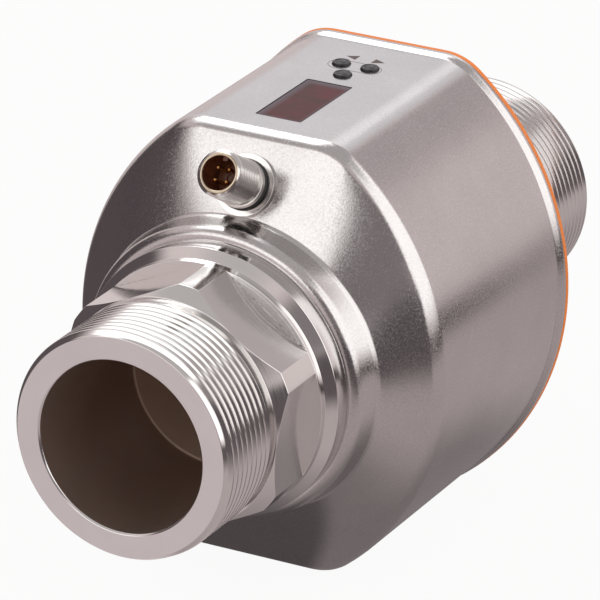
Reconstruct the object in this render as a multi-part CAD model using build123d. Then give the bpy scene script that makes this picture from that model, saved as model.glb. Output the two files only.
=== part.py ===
from build123d import *
from math import atan2, cos, radians, sin, tan
import os

# Magnetic flow sensor. The flow axis lies along Y, the inlet end is at -Y, up is +Z, and the
# origin is on the flow axis halfway between the two end faces. All sizes are in millimetres.

# Fits, how far a cut runs past its piece, and how near a plane an edge must lie
running_gap = 0.05
seat_gap = 0.1
loose_gap = 0.3
cut_over = 1.0
plane_tolerance = 0.01

# Process fittings: pipe thread, spanner hexagon, collar and spigot, one at each end
face_to_face = 200.0
fitting_thread_d = 59.6
fitting_bore_d = 44.6
end_face_d = 57.0
end_chamfer_length = 1.9
bore_edge_chamfer = 0.5
thread_length = 21.0
relief_length = 3.0
relief_d = 56.2
hexagon_length = 17.0
hexagon_across_flats = 60.0
hexagon_bar_d = 66.3
hexagon_corner_angle = 23.5
hexagon_chamfer_angle = 30.0
collar_step_length = 2.0
collar_cone_length = 2.0
collar_shoulder = 1.7
collar_land_length = 5.0
collar_edge_chamfer = 0.35
spigot_edge = 1.65
spigot_length = 12.0
tube_socket_depth = 16.0

# Measuring tube, its seals, electrodes and temperature probe
tube_bore_d = 43.6
tube_wall = 3.7
tube_seal_section = 1.8
tube_seal_from_end = 4.0
seal_groove_play = 0.6
electrode_pin_d = 4.0
electrode_stand_out = 0.2
electrode_boss_d = 13.0
electrode_boss_height = 3.4
electrode_nut_d = 9.0
electrode_nut_height = 2.6
probe_d = 6.0
probe_length = 10.0
probe_boss_d = 11.0
probe_boss_height = 2.6
probe_from_centre = 27.0

# Coils and the iron round them
pole_shoe_thickness = 2.0
pole_shoe_angle = 68.0
pole_shoe_length = 34.0
core_d = 10.0
bobbin_flange_d = 28.0
bobbin_flange_thickness = 1.2
bobbin_barrel_wall = 1.1
coil_build = 7.0
yoke_width = 20.0
yoke_thickness = 2.0
yoke_inset = 12.3

# Tie rods and the rings that clamp the housing necks
tie_rod_count = 4
tie_rod_d = 5.0
tie_rod_gap = 1.75
tie_rod_engagement = 7.0
neck_seal_thickness = 2.2
clamp_ring_thickness = 4.0

# Housing: deep-drawn barrel shell, rear cover and the seal ring between them
body_width = 102.4
body_height = 116.6
body_flat = 31.6
body_corner_r = 14.35
shell_wall = 1.5
shell_front_y = -30.0
shell_rear_y = 38.7
front_slope_angle = 30.0
front_edge_r = 5.0
neck_shoulder = 3.0
neck_front_r = 3.0
neck_foot_flat = 2.0
rim_flare = 0.9
rim_flare_length = 2.0
rim_land_length = 0.8
seal_ring_thickness = 1.6
seal_ring_stand_out = 1.0
seal_ring_depth = 3.2
seal_web_thickness = 1.4
seal_web_length = 2.0
cover_rim_length = 1.7
cover_dish_depth = 4.4
cover_neck_r = 2.0

# Display, keys and boards
window_width = 12.8
window_length = 28.0
window_centre_y = -7.0
window_corner_r = 0.5
window_recess = 0.15
window_flange = 1.7
window_flange_thickness = 1.1
gasket_thickness = 0.5
display_width = 12.0
display_length = 27.0
display_height = 3.0
key_d = 4.8
key_pitch = 8.08
key_pair_y = 20.7
enter_key_y = 13.6
key_stand_out = 0.3
key_dome_rise = 0.4
key_foot_d = 6.0
key_foot_thickness = 1.1
key_travel = 0.6
keypad_width = 19.0
keypad_length = 15.6
keypad_thickness = 0.9
switch_size = 4.6
switch_height = 1.6
plunger_d = 2.4
board_thickness = 1.6
display_board_width = 31.0
display_board_front_y = -24.0
display_board_rear_y = 26.0
display_board_drop = 6.7
carrier_thickness = 1.5
carrier_post_d = 5.0
carrier_post_inset = 3.2
carrier_edge = 1.0
main_board_front_y = 28.0
main_board_inset = 6.5
main_board_gap = 0.9
main_board_low_z = -6.0
screw_d = 2.5
screw_head_d = 4.5
screw_head_height = 1.4
screw_grip = 3.0
main_board_screw_angles = (5, 50, 130, 175)

# Plug connector on the sloping front face
connector_above_neck = 7.4
connector_thread_d = 12.0
connector_reach = 16.6
connector_cavity_d = 8.6
connector_cavity_depth = 9.0
connector_flange_d = 16.0
connector_flange_thickness = 1.2
connector_waist_d = 10.4
connector_waist_length = 1.5
connector_shoulder_d = 12.6
connector_shoulder_length = 1.5
connector_edge_chamfer = 0.8
connector_tail_d = 11.8
connector_tail_length = 9.0
connector_nut_across_flats = 14.0
connector_nut_thickness = 3.0
connector_seal_section = 1.2
contact_count = 4
contact_d = 1.0
contact_circle_d = 4.4
contact_reach = 7.0
contact_tail = 3.0

# Derived places
half_length = face_to_face / 2
thread_end_y = half_length - thread_length
relief_end_y = thread_end_y - relief_length
hexagon_end_y = relief_end_y - hexagon_length
collar_step_y = hexagon_end_y - collar_step_length
collar_front_y = collar_step_y - collar_cone_length
collar_rear_y = collar_front_y - collar_land_length
spigot_end_y = collar_rear_y - spigot_length
tube_half_length = spigot_end_y + tube_socket_depth
tube_r = tube_bore_d / 2 + tube_wall
electrode_length = tube_wall + electrode_boss_height + electrode_nut_height + electrode_stand_out
tie_rod_circle_r = tube_r + tie_rod_gap + tie_rod_d / 2
spigot_r = tie_rod_circle_r + tie_rod_d / 2 + spigot_edge
collar_r = spigot_r + collar_shoulder
neck_r = collar_r + neck_shoulder
body_top_z = body_height / 2
panel_inside_z = body_top_z - shell_wall
display_board_top_z = body_top_z - display_board_drop
main_board_bore_r = spigot_r + main_board_gap
connector_height_z = neck_r + connector_above_neck
neck_inner_r = neck_r - shell_wall
slope = tan(radians(front_slope_angle))
neck_foot_y = shell_front_y - (body_top_z - neck_r) * slope
slope_wall_shift = shell_wall * tan(radians((90 - front_slope_angle) / 2))
dish_angle = atan2(cover_dish_depth, body_top_z - neck_r)
dish_wall_shift = shell_wall * tan((radians(90) - dish_angle) / 2)
cover_front_y = shell_rear_y + seal_ring_thickness
corner_centre_z = body_top_z - body_corner_r
corner_reach = body_width / 2 - body_corner_r
side_centre_x = (body_flat**2 / 4 + corner_centre_z**2 - corner_reach**2) / (2 * corner_reach - body_flat)


def barrel_turn():
    """Angle at which the corner arc of the barrel section meets its side arc."""
    return atan2(corner_centre_z, body_flat / 2 + side_centre_x)


def barrel_face(inset, y):
    """Housing section: flat top and bottom, bulging sides, tangent corner arcs."""
    side_r = body_width / 2 + side_centre_x - inset
    return oval_face(body_flat / 2, corner_centre_z, body_corner_r - inset, -side_centre_x, side_r, y)


def oval_face(half_flat, corner_z, corner_r, side_x, side_r, y):
    """Eight-sided tangent outline in the plane across the flow axis at y."""
    turn = barrel_turn()
    joint = (half_flat + corner_r * cos(turn), corner_z + corner_r * sin(turn))
    middle = (turn + radians(90)) / 2
    mid_corner = (half_flat + corner_r * cos(middle), corner_z + corner_r * sin(middle))
    start = (half_flat, corner_z + corner_r)
    upper = [
        Line((-start[0], start[1]), start),
        ThreePointArc(start, mid_corner, joint),
        ThreePointArc(joint, (side_x + side_r, 0), (joint[0], -joint[1])),
        ThreePointArc((joint[0], -joint[1]), (mid_corner[0], -mid_corner[1]), (start[0], -start[1])),
    ]
    lower = [edge.rotate(Axis.Z, 180) for edge in upper]
    flat = make_face(Curve() + upper + lower)
    return Plane(origin=(0, y, 0), x_dir=(1, 0, 0), z_dir=(0, -1, 0)) * flat


def foot_face(radius, y):
    """Round foot of the neck, with short flats so that it matches the barrel section."""
    half_flat = neck_foot_flat / 2
    return oval_face(half_flat, 0, radius, half_flat, radius, y)


def turned(profile):
    """Solid of revolution about the flow axis from (radius, y) points."""
    face = make_face(Polyline(*[(r, y) for r, y in profile], close=True))
    return revolve(face, Axis.Y)


def disc(radius, y_from, y_to):
    """Round bar along the flow axis."""
    return turned([(0, y_from), (radius, y_from), (radius, y_to), (0, y_to)])


def ring(inner_r, outer_r, y_from, y_to):
    return turned([(inner_r, y_from), (outer_r, y_from), (outer_r, y_to), (inner_r, y_to)])


def extruded_between(face_at, inset, y_from, y_to):
    return extrude(face_at(inset, y_from), amount=y_to - y_from, dir=(0, 1, 0))


def upright(radius, x, y, z_from, z_to):
    """Round bar along Z between two heights."""
    return Pos(x, y, (z_from + z_to) / 2) * Cylinder(radius, z_to - z_from)


def block(width, length, x, y, z_from, z_to):
    return Pos(x, y, (z_from + z_to) / 2) * Box(width, length, z_to - z_from)


def to_outlet(piece):
    """The outlet piece is the inlet piece turned half round the vertical axis."""
    return piece.rotate(Axis.Z, 180)


def tie_rod_places():
    step = 360 / tie_rod_count
    angles = [radians(step / 2 + step * k) for k in range(tie_rod_count)]
    return [(tie_rod_circle_r * cos(a), tie_rod_circle_r * sin(a)) for a in angles]


def rod_along_flow(radius, x, z, y_from, y_to):
    return Pos(x, 0, z) * disc(radius, y_from, y_to)


def process_fitting():
    """Threaded inlet end; the thread itself is a plain stub at its major diameter."""
    bore_r = fitting_bore_d / 2
    bar_r = hexagon_bar_d / 2
    socket_r = tube_r + seat_gap
    stub = turned(
        [
            (0, -half_length),
            (end_face_d / 2, -half_length),
            (fitting_thread_d / 2, -half_length + end_chamfer_length),
            (fitting_thread_d / 2, -thread_end_y),
            (relief_d / 2, -thread_end_y),
            (relief_d / 2, -relief_end_y),
            (0, -relief_end_y),
        ]
    )
    collar = turned(
        [
            (0, -collar_step_y),
            (bar_r, -collar_step_y),
            (collar_r, -collar_front_y),
            (collar_r, -collar_rear_y - collar_edge_chamfer),
            (collar_r - collar_edge_chamfer, -collar_rear_y),
            (spigot_r, -collar_rear_y),
            (spigot_r, -spigot_end_y),
            (0, -spigot_end_y),
        ]
    )
    bar_y = -collar_step_y
    chamfer_drop = (bar_r - hexagon_across_flats / 2) * tan(radians(hexagon_chamfer_angle))
    bar = turned(
        [
            (0, -relief_end_y),
            (hexagon_across_flats / 2, -relief_end_y),
            (bar_r, -relief_end_y + chamfer_drop),
            (bar_r, bar_y),
            (0, bar_y),
        ]
    )
    flats = RegularPolygon(hexagon_across_flats / 2, 6, major_radius=False, rotation=hexagon_corner_angle)
    prism_plane = Plane(origin=(0, -relief_end_y, 0), x_dir=(1, 0, 0), z_dir=(0, -1, 0))
    prism = extrude(prism_plane * flats, amount=-hexagon_length)
    rear_bar = disc(bar_r, -hexagon_end_y, bar_y)
    hexagon = (bar & prism) + rear_bar
    solid = stub + hexagon + collar
    solid -= disc(bore_r, -half_length - cut_over, -spigot_end_y + cut_over)
    solid -= turned(
        [
            (0, -half_length),
            (bore_r + bore_edge_chamfer, -half_length),
            (bore_r, -half_length + bore_edge_chamfer),
            (0, -half_length + bore_edge_chamfer),
        ]
    )
    solid -= disc(socket_r, -tube_half_length - seat_gap, -spigot_end_y + cut_over)
    hole_end = -spigot_end_y - tie_rod_engagement - seat_gap
    for x, z in tie_rod_places():
        solid -= rod_along_flow(tie_rod_d / 2 + running_gap, x, z, hole_end, -spigot_end_y + cut_over)
    return solid


def measuring_tube():
    """Insulating tube with seal grooves, electrode bosses and a probe boss."""
    groove_r = tube_r + seat_gap - tube_seal_section
    groove_width = tube_seal_section + seal_groove_play
    groove_y = tube_half_length - tube_seal_from_end
    solid = disc(tube_r, -tube_half_length, tube_half_length)
    boss_x = tube_r + electrode_boss_height
    solid += Rot(0, 90, 0) * Cylinder(electrode_boss_d / 2, 2 * boss_x)
    probe_z = tube_r + probe_boss_height
    solid += upright(probe_boss_d / 2, 0, -probe_from_centre, -probe_z, 0)
    solid -= disc(tube_bore_d / 2, -tube_half_length - cut_over, tube_half_length + cut_over)
    for y in (-groove_y, groove_y):
        solid -= ring(groove_r, tube_r + cut_over, y - groove_width / 2, y + groove_width / 2)
    solid -= Rot(0, 90, 0) * Cylinder(electrode_pin_d / 2 + running_gap, 4 * boss_x)
    solid -= upright(probe_d / 2 + running_gap, 0, -probe_from_centre, -2 * probe_z, 0)
    return solid


def tube_seal():
    """O-ring in the groove at the inlet end of the tube."""
    radius = tube_r + seat_gap - tube_seal_section / 2
    section_r = tube_seal_section / 2 - running_gap
    seal_y = -tube_half_length + tube_seal_from_end
    return Pos(0, seal_y, 0) * Rot(90, 0, 0) * Torus(radius, section_r)


def electrode(side):
    """Metal pin through the tube wall; its inner end is level with the bore."""
    start = tube_bore_d / 2
    pin = Pos(side * (start + electrode_length / 2), 0, 0) * Rot(0, 90, 0)
    bar = pin * Cylinder(electrode_pin_d / 2, electrode_length)
    return bar - disc(start, -electrode_pin_d, electrode_pin_d)


def electrode_nuts():
    """One round nut on each electrode, seated on the tube's boss."""
    start = tube_r + electrode_boss_height
    middle = start + electrode_nut_height / 2
    nut = Cylinder(electrode_nut_d / 2, electrode_nut_height)
    nut -= Cylinder(electrode_pin_d / 2 + running_gap, 2 * electrode_nut_height)
    return Compound(children=[Pos(side * middle, 0, 0) * Rot(0, 90, 0) * nut for side in (-1, 1)])


def temperature_probe():
    start = -tube_bore_d / 2
    bar = upright(probe_d / 2, 0, -probe_from_centre, start - probe_length, start)
    bar -= disc(tube_bore_d / 2, -probe_from_centre - probe_d, -probe_from_centre + probe_d)
    return bar


def yoke_top_z():
    return body_top_z - yoke_inset


def core_top_z():
    return yoke_top_z() - yoke_thickness


def shoe_top_z():
    return tube_r + seat_gap + pole_shoe_thickness


def pole_piece():
    """Curved shoe that lies on the tube, with the coil's round core standing on it."""
    inner_r = tube_r + seat_gap
    shoe = ring(inner_r, shoe_top_z(), -pole_shoe_length / 2, pole_shoe_length / 2)
    reach = 2 * shoe_top_z()
    half = radians(pole_shoe_angle / 2)
    side_x, side_z = reach * sin(half), reach * cos(half)
    wedge = make_face(Polyline((0, 0), (side_x, side_z), (-side_x, side_z), close=True))
    plane = Plane(origin=(0, pole_shoe_length, 0), x_dir=(1, 0, 0), z_dir=(0, -1, 0))
    shoe = shoe & extrude(plane * wedge, amount=2 * pole_shoe_length)
    core = upright(core_d / 2, 0, 0, shoe_top_z() - pole_shoe_thickness / 2, core_top_z())
    return shoe + core


def bobbin():
    """Spool that slides over the core, between the pole shoe and the yoke."""
    low = shoe_top_z() + seat_gap
    high = core_top_z() - seat_gap
    barrel_r = core_d / 2 + running_gap + bobbin_barrel_wall
    spool = upright(barrel_r, 0, 0, low, high)
    spool += upright(bobbin_flange_d / 2, 0, 0, low, low + bobbin_flange_thickness)
    spool += upright(bobbin_flange_d / 2, 0, 0, high - bobbin_flange_thickness, high)
    return spool - upright(core_d / 2 + running_gap, 0, 0, low - cut_over, high + cut_over)


def coil():
    """Wound wire, as one solid ring between the bobbin's flanges."""
    low = shoe_top_z() + seat_gap + bobbin_flange_thickness + seat_gap
    high = core_top_z() - seat_gap - bobbin_flange_thickness - seat_gap
    inner_r = core_d / 2 + running_gap + bobbin_barrel_wall + seat_gap
    winding = upright(inner_r + coil_build, 0, 0, low, high)
    return winding - upright(inner_r, 0, 0, low - cut_over, high + cut_over)


def lower(piece):
    """The lower coil's pieces are the upper ones turned half round the flow axis."""
    return piece.rotate(Axis.Y, 180)


def flux_yoke():
    """Iron band round the coils, following the barrel section of the housing."""
    half = yoke_width / 2
    outer = extruded_between(barrel_face, yoke_inset, -half, half)
    reach = half + cut_over
    return outer - extruded_between(barrel_face, yoke_inset + yoke_thickness, -reach, reach)


def tie_rods():
    reach = spigot_end_y + tie_rod_engagement
    rods = [rod_along_flow(tie_rod_d / 2, x, z, -reach, reach) for x, z in tie_rod_places()]
    return Compound(children=rods)


def neck_seal():
    """Flat seal ring behind the lip of the inlet neck."""
    start = -collar_rear_y + shell_wall
    return ring(spigot_r + running_gap, neck_inner_r - seat_gap, start, start + neck_seal_thickness)


def clamp_ring():
    """Steel ring that holds the neck's lip and seal against the collar."""
    start = -collar_rear_y + shell_wall + neck_seal_thickness
    return ring(spigot_r + running_gap, neck_inner_r - seat_gap, start, start + clamp_ring_thickness)


def neck(foot_y, lip_y, round_r):
    """Solid neck towards -Y, with a rounded lip."""
    bar = disc(neck_r, lip_y, foot_y)
    return fillet(bar.edges().sort_by(Axis.Y)[0], round_r)


def sloped_front(inset, shift):
    """Barrel drawn down to the neck's round foot in straight lines."""
    start = barrel_face(inset, shell_front_y + shift)
    return loft([foot_face(neck_r - inset, neck_foot_y + shift), start], ruled=True)


def shell_form(inset, shift, edge_r):
    """Closed form of the housing shell without its neck, inset for the inner side."""
    flare_end = shell_rear_y - rim_land_length
    flare_start = flare_end - rim_flare_length
    barrel = extruded_between(barrel_face, inset, shell_front_y + shift, flare_start)
    form = barrel + sloped_front(inset, shift)
    edge_y = shell_front_y + shift
    rim = form.edges().filter_by_position(Axis.Y, edge_y - plane_tolerance, edge_y + plane_tolerance)
    form = fillet(rim, edge_r)
    flare = loft([barrel_face(inset, flare_start), barrel_face(inset - rim_flare, flare_end)], ruled=True)
    land = extruded_between(barrel_face, inset - rim_flare, flare_end, shell_rear_y)
    return form + flare + land


def connector_place(along):
    """Location on the connector's axis, its Z pointing out of the sloping face."""
    face_y = shell_front_y - (body_top_z - connector_height_z) * slope
    tilt = radians(front_slope_angle)
    point = (0, face_y - along * cos(tilt), connector_height_z + along * sin(tilt))
    return Plane(origin=point, x_dir=(1, 0, 0), z_dir=(0, -cos(tilt), sin(tilt)))


def connector_bar(radius, along_from, along_to):
    return connector_place((along_from + along_to) / 2) * Cylinder(radius, along_to - along_from)


def window_opening(grow, z_from, z_to):
    """Upright block with rounded corners, as large as the window plus grow on each side."""
    width, length = window_width + 2 * grow, window_length + 2 * grow
    outline = RectangleRounded(width, length, window_corner_r + max(grow, 0))
    return Pos(0, window_centre_y, z_from) * extrude(outline, amount=z_to - z_from)


def key_places():
    return {
        "left_key": (-key_pitch / 2, key_pair_y),
        "right_key": (key_pitch / 2, key_pair_y),
        "enter_key": (0, enter_key_y),
    }


def housing_shell():
    """Deep-drawn shell: barrel, sloping front face, neck with lip, flared rear rim."""
    lip_y = -collar_rear_y
    solid = shell_form(0, 0, front_edge_r) + neck(neck_foot_y + shell_wall, lip_y, neck_front_r)
    hollow = shell_form(shell_wall, slope_wall_shift, front_edge_r - shell_wall)
    hollow += disc(neck_inner_r, lip_y + shell_wall, neck_foot_y + 2 * shell_wall)
    hollow += extruded_between(barrel_face, shell_wall - rim_flare, shell_rear_y, shell_rear_y + cut_over)
    solid -= hollow
    solid -= disc(spigot_r + seat_gap, lip_y - cut_over, lip_y + 2 * shell_wall)
    solid -= window_opening(0, panel_inside_z - cut_over, body_top_z + cut_over)
    for x, y in key_places().values():
        solid -= upright(key_d / 2 + seat_gap, x, y, panel_inside_z - cut_over, body_top_z + cut_over)
    solid -= connector_bar(connector_tail_d / 2 + seat_gap, -3 * shell_wall, shell_wall)
    return solid


def cover_form(inset, shift):
    """Closed form of the rear cover: short rim and a shallow dish down to its neck."""
    rim_end = cover_front_y + cover_rim_length - shift
    foot_y = rim_end + cover_dish_depth
    rim = extruded_between(barrel_face, inset, cover_front_y, rim_end)
    return rim + loft([barrel_face(inset, rim_end), foot_face(neck_r - inset, foot_y)], ruled=True)


def rear_cover():
    lip_y = collar_rear_y
    bar = neck(-cover_front_y - cover_rim_length, -lip_y, cover_neck_r).rotate(Axis.Z, 180)
    solid = cover_form(0, 0) + bar
    hollow = cover_form(shell_wall, dish_wall_shift)
    hollow += disc(neck_inner_r, cover_front_y, lip_y - shell_wall)
    hollow += extruded_between(barrel_face, shell_wall, cover_front_y - cut_over, cover_front_y)
    solid -= hollow
    return solid - disc(spigot_r + seat_gap, lip_y - 2 * shell_wall, lip_y + cut_over)


def cover_seal():
    """Seal ring between shell and cover, with a web that locates it in the shell."""
    rear = shell_rear_y + seal_ring_thickness
    ring_solid = extruded_between(barrel_face, -seal_ring_stand_out, shell_rear_y, rear)
    web_inset = shell_wall + seat_gap
    web_front_y = shell_rear_y - seal_web_length
    web = extruded_between(barrel_face, web_inset, web_front_y, shell_rear_y)
    inner_inset = max(seal_ring_depth, web_inset + seal_web_thickness)
    hollow = extruded_between(barrel_face, inner_inset, web_front_y - cut_over, rear + cut_over)
    return ring_solid + web - hollow


def display_window():
    """Clear window: the plug fills the opening and the flange lies under the gasket."""
    flange_top = panel_inside_z - gasket_thickness
    plug = window_opening(-running_gap, flange_top - window_flange_thickness / 2, body_top_z - window_recess)
    return plug + window_opening(window_flange, flange_top - window_flange_thickness, flange_top)


def window_gasket():
    low, high = panel_inside_z - gasket_thickness, panel_inside_z
    hole = window_opening(seat_gap, low - cut_over, high + cut_over)
    return window_opening(window_flange, low, high) - hole


def display_module():
    low = display_board_top_z
    return block(display_width, display_length, 0, window_centre_y, low, low + display_height)


def keypad_mat():
    """Soft mat under the panel, with a guide hole for each key."""
    low, high = panel_inside_z - keypad_thickness, panel_inside_z
    mat = block(keypad_width, keypad_length, 0, (key_pair_y + enter_key_y) / 2, low, high)
    for x, y in key_places().values():
        mat -= upright(key_d / 2 + running_gap, x, y, low - cut_over, high + cut_over)
    return mat


def key(x, y):
    """Round key with a low dome and a foot that keeps it under the mat."""
    foot_top = panel_inside_z - keypad_thickness - seat_gap
    top_z = body_top_z + key_stand_out + key_dome_rise
    dome_r = ((key_d / 2) ** 2 + key_dome_rise**2) / (2 * key_dome_rise)
    stem = upright(key_d / 2, x, y, foot_top - key_foot_thickness, top_z + cut_over)
    stem = stem & (Pos(x, y, top_z - dome_r) * Sphere(dome_r))
    return stem + upright(key_foot_d / 2, x, y, foot_top - key_foot_thickness, foot_top)


def key_switches():
    """One push switch under each key; the plunger ends just below the pressed key."""
    key_bottom = panel_inside_z - keypad_thickness - seat_gap - key_foot_thickness
    plunger_top = key_bottom - key_travel - seat_gap
    low, high = display_board_top_z, display_board_top_z + switch_height
    switches = []
    for x, y in key_places().values():
        body = block(switch_size, switch_size, x, y, low, high)
        switches.append(body + upright(plunger_d / 2, x, y, (low + high) / 2, plunger_top))
    return Compound(children=switches)


def board_corners():
    x = display_board_width / 2 - carrier_post_inset
    ends = (display_board_front_y + carrier_post_inset, display_board_rear_y - carrier_post_inset)
    return [(side * x, y) for side in (-1, 1) for y in ends]


def display_board():
    length = display_board_rear_y - display_board_front_y
    middle = (display_board_rear_y + display_board_front_y) / 2
    low, high = display_board_top_z - board_thickness, display_board_top_z
    board = block(display_board_width, length, 0, middle, low, high)
    for x, y in board_corners():
        board -= upright(screw_d / 2 + seat_gap, x, y, low - cut_over, high + cut_over)
    return board


def arch(inset, bore_r, y_from, y_to):
    """Upper part of the barrel section with a round bore, between two planes."""
    solid = extruded_between(barrel_face, inset, y_from, y_to)
    solid -= disc(bore_r, y_from - cut_over, y_to + cut_over)
    keep = block(2 * body_width, 4 * body_width, 0, 0, main_board_low_z, body_height)
    return solid & keep


def main_board_screws():
    """Places of the screws that hold the main board to the carrier's arch."""
    middle_r = (main_board_bore_r + body_width / 2 - main_board_inset) / 2
    angles = [radians(a) for a in main_board_screw_angles]
    return [(middle_r * cos(a), middle_r * sin(a)) for a in angles]


def board_carrier():
    """Moulded frame on the yoke: a shelf with posts, and an arch for the main board."""
    shelf_top = yoke_top_z() + carrier_thickness
    arch_front = main_board_front_y - carrier_thickness
    shelf_length = main_board_front_y - display_board_front_y
    shelf_y = (main_board_front_y + display_board_front_y) / 2
    post_top = display_board_top_z - board_thickness
    solid = block(display_board_width, shelf_length, 0, shelf_y, yoke_top_z(), shelf_top)
    solid += arch(main_board_inset + carrier_edge, main_board_bore_r, arch_front, main_board_front_y)
    for x, y in board_corners():
        solid += upright(carrier_post_d / 2, x, y, yoke_top_z() + carrier_thickness / 2, post_top)
        solid -= upright(screw_d / 2 + running_gap, x, y, post_top - screw_grip, post_top + cut_over)
    for x, z in main_board_screws():
        hole_r = screw_d / 2 + running_gap
        solid -= rod_along_flow(hole_r, x, z, arch_front - cut_over, main_board_front_y + cut_over)
    return solid


def main_board():
    front, rear = main_board_front_y, main_board_front_y + board_thickness
    board = arch(main_board_inset, main_board_bore_r, front, rear)
    for x, z in main_board_screws():
        board -= rod_along_flow(screw_d / 2 + seat_gap, x, z, front - cut_over, rear + cut_over)
    return board


def board_screws():
    """Pan screws: four in the carrier's posts and four through the main board."""
    screws = []
    top = display_board_top_z
    for x, y in board_corners():
        screw = upright(screw_d / 2, x, y, top - board_thickness - screw_grip, top)
        screws.append(screw + upright(screw_head_d / 2, x, y, top, top + screw_head_height))
    rear = main_board_front_y + board_thickness
    for x, z in main_board_screws():
        screw = rod_along_flow(screw_d / 2, x, z, main_board_front_y - carrier_thickness, rear)
        screws.append(screw + rod_along_flow(screw_head_d / 2, x, z, rear, rear + screw_head_height))
    return Compound(children=screws)


def connector_body():
    """Threaded plug sleeve on the sloping face; the thread is plain at its major diameter."""
    waist_start = connector_flange_thickness
    waist_end = waist_start + connector_waist_length
    shoulder_end = waist_end + connector_shoulder_length
    body = connector_bar(connector_flange_d / 2, 0, connector_flange_thickness)
    body += connector_bar(connector_waist_d / 2, waist_start, waist_end)
    body += connector_bar(connector_shoulder_d / 2, waist_end, shoulder_end)
    sleeve = connector_bar(connector_thread_d / 2, shoulder_end, connector_reach)
    front = sleeve.edges().filter_by(GeomType.CIRCLE).sort_by(Axis.Y)[0]
    body += chamfer(front, connector_edge_chamfer)
    body += connector_bar(connector_tail_d / 2, -connector_tail_length, 0)
    cavity = connector_cavity_d / 2
    return body - connector_bar(cavity, -connector_tail_length - cut_over, connector_reach + cut_over)


def connector_insert():
    """Insulating core that carries the contacts; its face is the cavity's floor."""
    face = connector_reach - connector_cavity_depth
    insert = connector_bar(connector_cavity_d / 2 - running_gap, -connector_tail_length, face)
    for pin in contact_bars(running_gap):
        insert -= pin
    return insert


def contact_bars(grow):
    """Bars at the contacts' places, thicker by grow all round."""
    start = -connector_tail_length - contact_tail
    end = connector_reach - connector_cavity_depth + contact_reach
    place = connector_place((start + end) / 2)
    bars = []
    for k in range(contact_count):
        angle = radians(45 + 360 / contact_count * k)
        shift = Pos(contact_circle_d / 2 * cos(angle), contact_circle_d / 2 * sin(angle), 0)
        bars.append(place * shift * Cylinder(contact_d / 2 + grow, end - start))
    return bars


def connector_seal():
    """O-ring under the connector's flange, in the shell's hole edge."""
    radius = connector_waist_d / 2 + connector_seal_section / 2 + seat_gap
    middle = connector_flange_thickness + connector_waist_length / 2
    return connector_place(middle) * Torus(radius, connector_seal_section / 2)


def connector_nut():
    """Hexagon nut on the connector's tail, inside the shell."""
    flats = RegularPolygon(connector_nut_across_flats / 2, 6, major_radius=False)
    nut = connector_place(-shell_wall - loose_gap) * extrude(flats, amount=-connector_nut_thickness)
    hole_end = -shell_wall - loose_gap - connector_nut_thickness - cut_over
    return nut - connector_bar(connector_tail_d / 2 + running_gap, hole_end, 0)


inlet_fitting = process_fitting()
upper_pole_piece = pole_piece()
upper_bobbin = bobbin()
upper_coil = coil()
parts = {
    "inlet_fitting": inlet_fitting,
    "outlet_fitting": to_outlet(inlet_fitting),
    "measuring_tube": measuring_tube(),
    "inlet_tube_seal": tube_seal(),
    "outlet_tube_seal": to_outlet(tube_seal()),
    "left_electrode": electrode(-1),
    "right_electrode": electrode(1),
    "electrode_nuts": electrode_nuts(),
    "temperature_probe": temperature_probe(),
    "upper_pole_piece": upper_pole_piece,
    "lower_pole_piece": lower(upper_pole_piece),
    "upper_bobbin": upper_bobbin,
    "lower_bobbin": lower(upper_bobbin),
    "upper_coil": upper_coil,
    "lower_coil": lower(upper_coil),
    "flux_yoke": flux_yoke(),
    "tie_rods": tie_rods(),
    "inlet_neck_seal": neck_seal(),
    "outlet_neck_seal": to_outlet(neck_seal()),
    "inlet_clamp_ring": clamp_ring(),
    "outlet_clamp_ring": to_outlet(clamp_ring()),
    "housing_shell": housing_shell(),
    "rear_cover": rear_cover(),
    "cover_seal": cover_seal(),
    "display_window": display_window(),
    "window_gasket": window_gasket(),
    "display_module": display_module(),
    "keypad_mat": keypad_mat(),
    "key_switches": key_switches(),
    "display_board": display_board(),
    "board_carrier": board_carrier(),
    "main_board": main_board(),
    "board_screws": board_screws(),
    "connector_body": connector_body(),
    "connector_insert": connector_insert(),
    "contact_pins": Compound(children=contact_bars(0)),
    "connector_seal": connector_seal(),
    "connector_nut": connector_nut(),
}
for name, (x, y) in key_places().items():
    parts[name] = key(x, y)

os.makedirs("parts", exist_ok=True)
for name, solid in parts.items():
    export_step(solid, f"parts/{name}.step")
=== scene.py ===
import bmesh
import bpy
from math import atan2, cos, pi, radians, sin, tan
from mathutils import Matrix, Vector


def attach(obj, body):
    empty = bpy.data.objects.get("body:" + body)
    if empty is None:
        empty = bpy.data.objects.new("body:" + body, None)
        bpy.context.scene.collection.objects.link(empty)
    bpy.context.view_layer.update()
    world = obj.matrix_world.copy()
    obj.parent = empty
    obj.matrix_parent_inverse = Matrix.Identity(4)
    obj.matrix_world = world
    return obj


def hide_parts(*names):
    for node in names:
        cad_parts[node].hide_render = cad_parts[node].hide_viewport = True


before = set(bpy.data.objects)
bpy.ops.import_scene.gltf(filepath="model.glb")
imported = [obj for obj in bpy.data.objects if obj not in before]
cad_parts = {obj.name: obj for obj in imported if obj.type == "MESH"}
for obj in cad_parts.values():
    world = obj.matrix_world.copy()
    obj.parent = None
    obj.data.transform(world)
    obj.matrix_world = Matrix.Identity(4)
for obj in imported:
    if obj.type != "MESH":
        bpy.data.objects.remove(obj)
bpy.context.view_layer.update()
print("frame loaded")

mm = 0.001
hairline = 1e-6
# a step too small to see; rings of one plane stand this far apart, or their bridge crosses the centre
apart = 0.05
# the points round a small turned piece
roundSteps = 96
# the sockets of a colour Mix node
mixFirst, mixSecond, mixResult = 6, 7, 2
# the middle part of a noise, which is spread over a finish's whole range
noiseLow, noiseHigh = 0.3, 0.7


# helpers that every piece uses

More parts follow.
